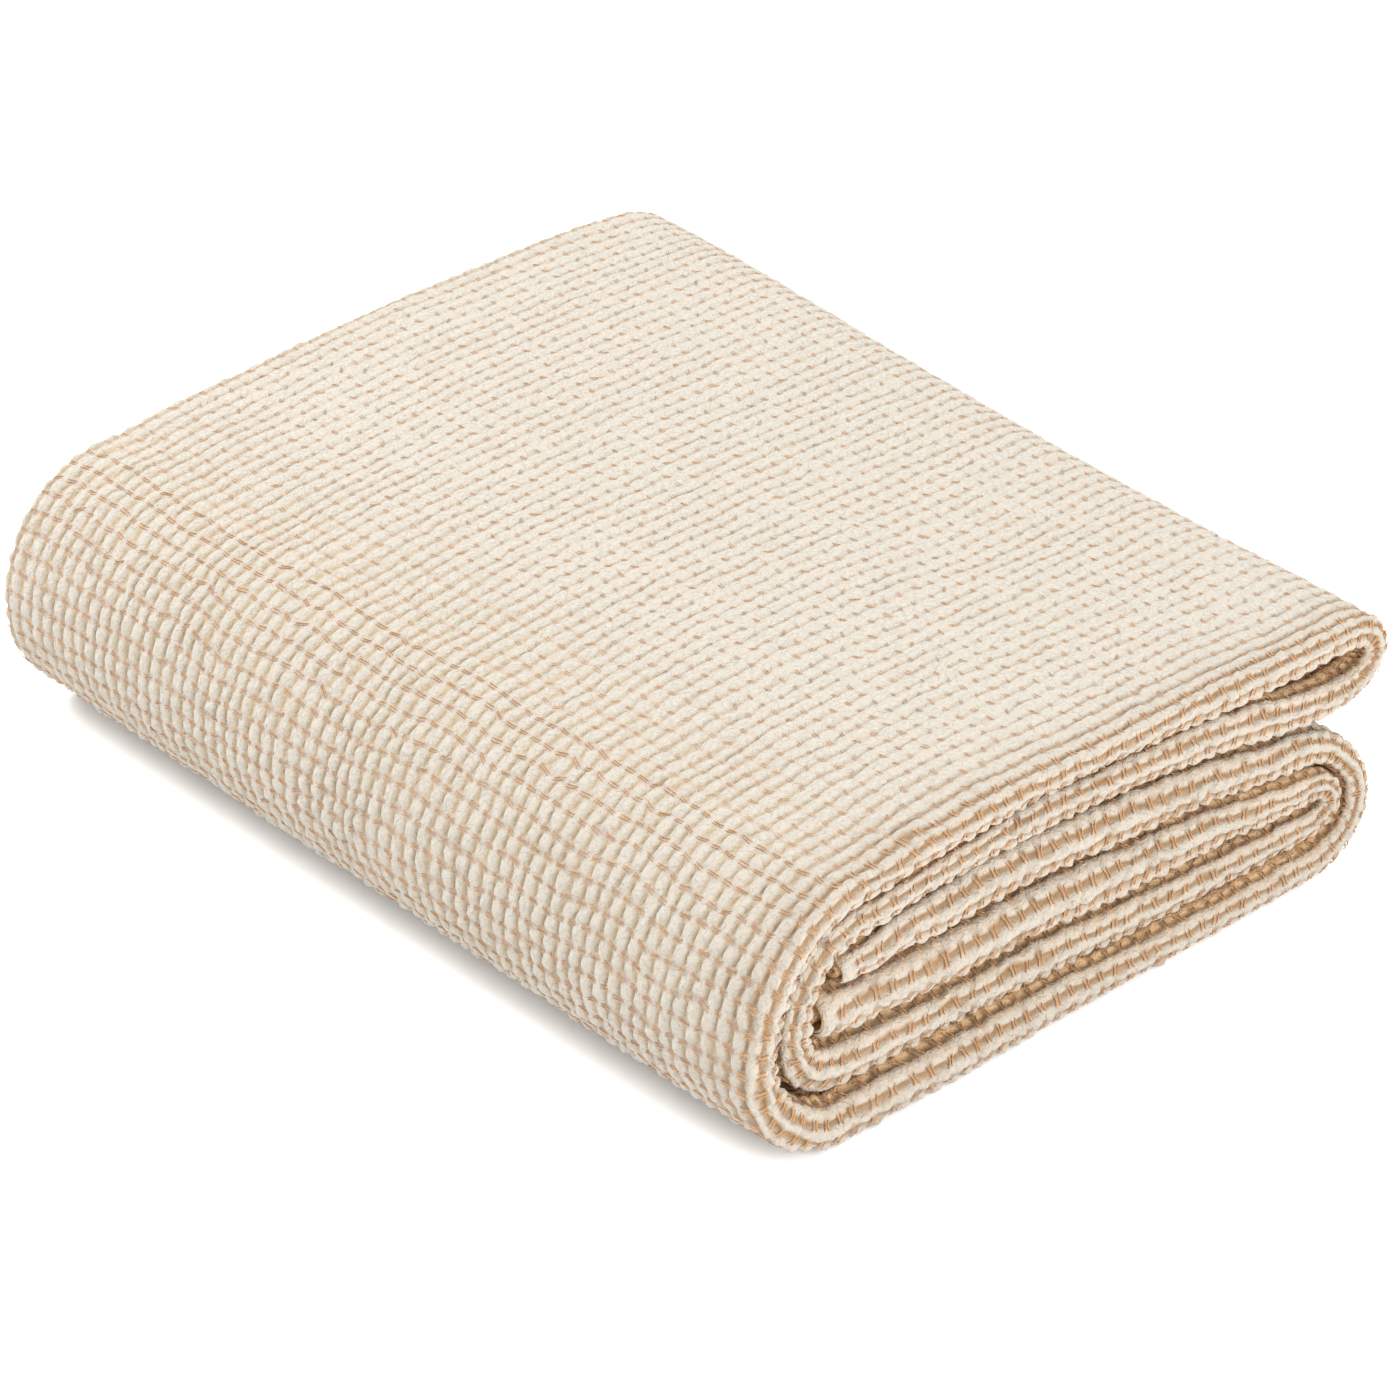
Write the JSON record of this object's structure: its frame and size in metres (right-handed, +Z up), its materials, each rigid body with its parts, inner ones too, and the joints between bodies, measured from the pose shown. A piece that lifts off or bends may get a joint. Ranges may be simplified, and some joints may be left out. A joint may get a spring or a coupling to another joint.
{
  "type": "folded cotton bedspread",
  "caption": "Woven cotton bedspread with a puffed ribbed weave, folded into a flat pack with rounded closed side and open layered side, lying flat.",
  "frame": {"origin": "centre of the pack's bounding box in plan, on the surface it lies on", "axes": "+Z up; +Y along the pack, from the end that faces the picture's lower right to the far end; +X across it, from the closed rounded side to the open layered side"},
  "size_m": [0.4804, 0.6014, 0.1567],
  "materials": {
    "cotton_cloth": "matt puffed cotton weave, cream with fine peach binding threads"
  },
  "bodies": {
    "root": {"bedspread": "cotton_cloth"}
  },
  "joints": []
}
